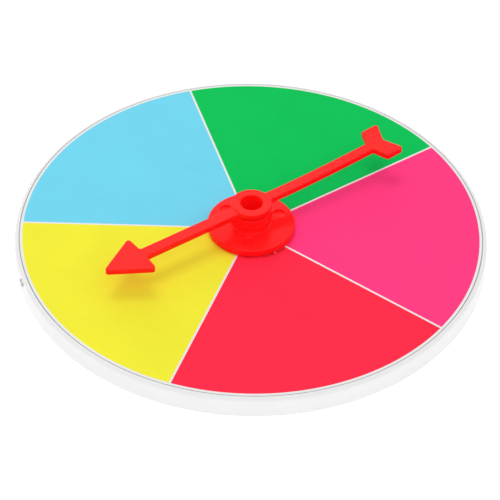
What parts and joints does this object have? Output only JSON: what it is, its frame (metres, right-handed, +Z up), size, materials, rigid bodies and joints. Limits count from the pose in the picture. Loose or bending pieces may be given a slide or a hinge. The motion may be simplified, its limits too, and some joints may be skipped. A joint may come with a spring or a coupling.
{
  "type": "game spinner",
  "caption": "Flat round five-colour game spinner with a free-turning moulded arrow on a glued-on central hub.",
  "frame": {"origin": "centre of the board's underside, on the arrow's axis, at the level it rests on", "axes": "+Z up along the arrow's axis, +X from the hub to the arrow's tail at rest, +Y to the left of that"},
  "size_m": [0.2304, 0.2304, 0.0301],
  "materials": {
    "white_plastic": "smooth satin moulded white plastic",
    "white_sheet": "smooth printed plastic sheet, unprinted white",
    "print_green": "smooth printed sheet, green",
    "print_blue": "smooth printed sheet, sky blue",
    "print_yellow": "smooth printed sheet, yellow",
    "print_red": "smooth printed sheet, crimson",
    "print_pink": "smooth printed sheet, hot pink",
    "red_plastic": "smooth satin moulded red plastic"
  },
  "bodies": {
    "board": {"board": "white_plastic", "face_card": "white_sheet", "panel_green": "print_green", "panel_blue": "print_blue", "panel_yellow": "print_yellow", "panel_red": "print_red", "panel_pink": "print_pink", "spinner_base": "red_plastic", "pivot_bush": "red_plastic"},
    "arrow": {"arrow": "red_plastic"}
  },
  "joints": [
    {"name": "arrow_spin", "type": "hinge", "parent": "board", "child": "arrow", "pos_m": [0, 0, 0.0273], "axis": [0, 0, 1], "continuous": true}
  ]
}
